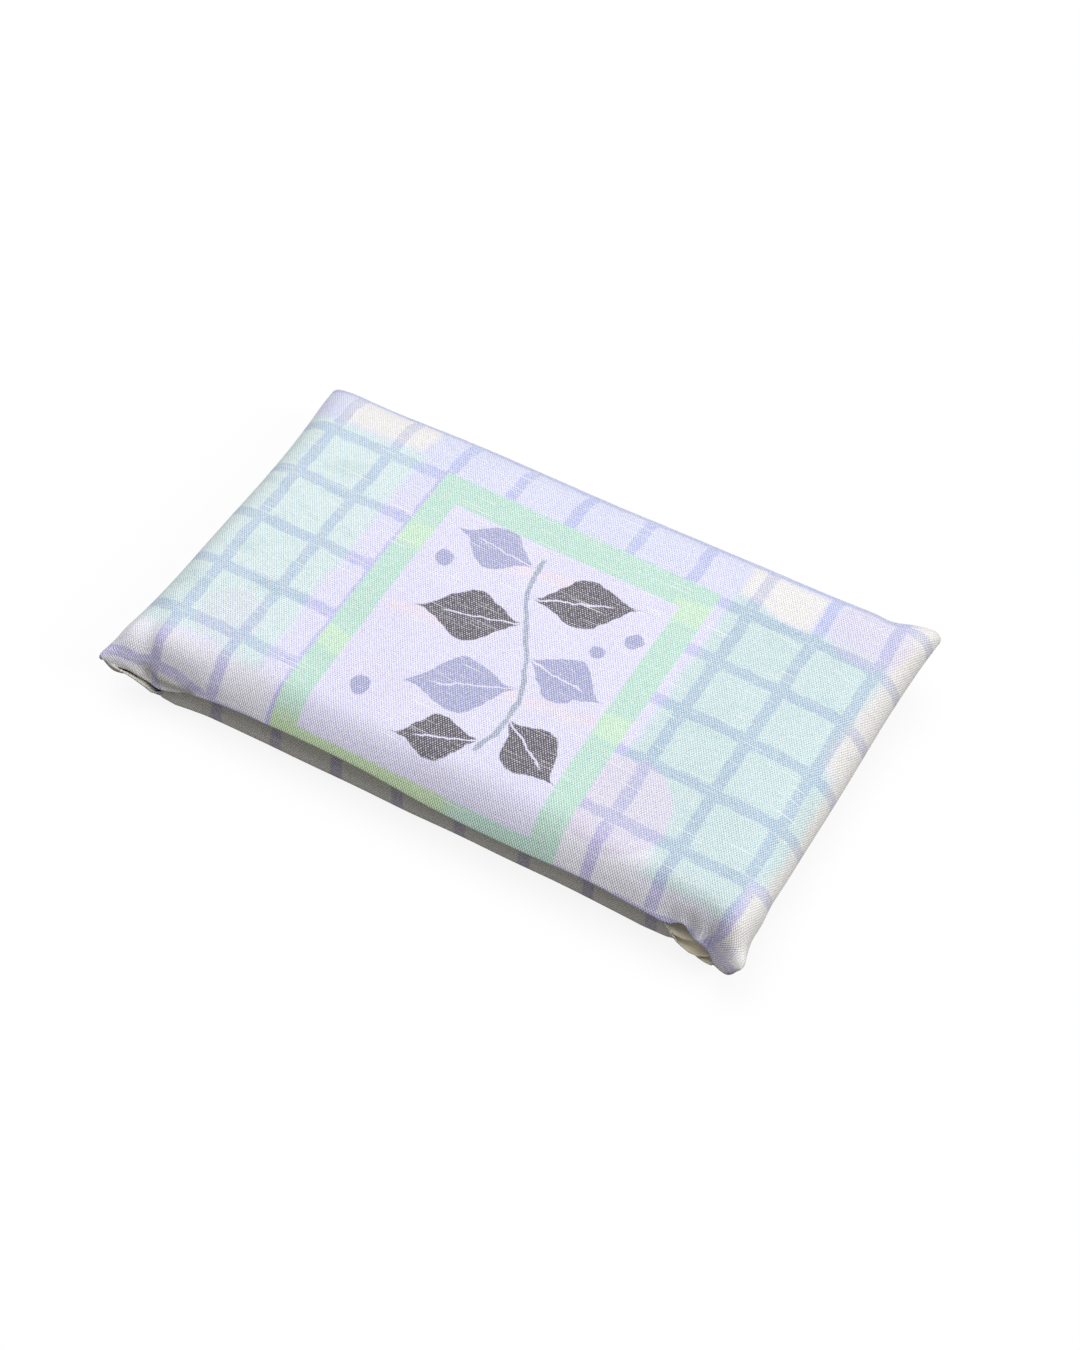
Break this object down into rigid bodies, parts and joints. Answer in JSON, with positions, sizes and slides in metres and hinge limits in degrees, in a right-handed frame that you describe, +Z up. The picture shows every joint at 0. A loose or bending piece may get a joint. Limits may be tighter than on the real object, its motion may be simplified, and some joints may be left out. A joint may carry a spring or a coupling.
{
  "type": "packed reusable shopping bag",
  "caption": "Gusseted cloth shopping bag folded flat inside its soft printed pouch; the pouch's upper lip lifts and the folded bag pulls out of the open long edge.",
  "frame": {"origin": "centre of the footprint, on the surface the pouch lies on", "axes": "+X along the pouch's long side, -Y towards its open mouth, +Z up"},
  "size_m": [0.173, 0.1036, 0.0225],
  "materials": {
    "printed_cloth": "plain-woven polyester with a printed pastel windowpane check",
    "binding_tape": "folded woven tape",
    "bag_cloth": "plain-woven polyester, its cream reverse outwards",
    "gusset_cloth": "plain-woven polyester, its cream reverse outwards",
    "handle_cloth": "plain-woven polyester, turned in and stitched on both sides"
  },
  "bodies": {
    "pouch": {"pouch_upper_panel": "printed_cloth", "pouch_lower_panel": "printed_cloth", "pouch_lower_lip": "printed_cloth", "pouch_left_seam_binding": "binding_tape", "pouch_right_seam_binding": "binding_tape", "pouch_back_seam_binding": "binding_tape"},
    "upper_lip": {"pouch_upper_lip": "printed_cloth"},
    "folded_bag": {"bag_front_panel": "bag_cloth", "bag_back_panel": "bag_cloth", "bag_base_panel": "bag_cloth", "bag_left_gusset": "gusset_cloth", "bag_right_gusset": "gusset_cloth", "bag_front_handle": "handle_cloth", "bag_back_handle": "handle_cloth"}
  },
  "joints": [
    {"name": "mouth_lip", "type": "hinge", "parent": "pouch", "child": "upper_lip", "pos_m": [0, -0.017, 0.02205], "axis": [-1, 0, 0], "range_deg": [0, 45]},
    {"name": "bag_pull", "type": "slide", "parent": "pouch", "child": "folded_bag", "axis": [0, -1, 0], "range_m": [0, 0.095], "deforming": ["pouch_upper_lip", "pouch_lower_lip"]}
  ]
}
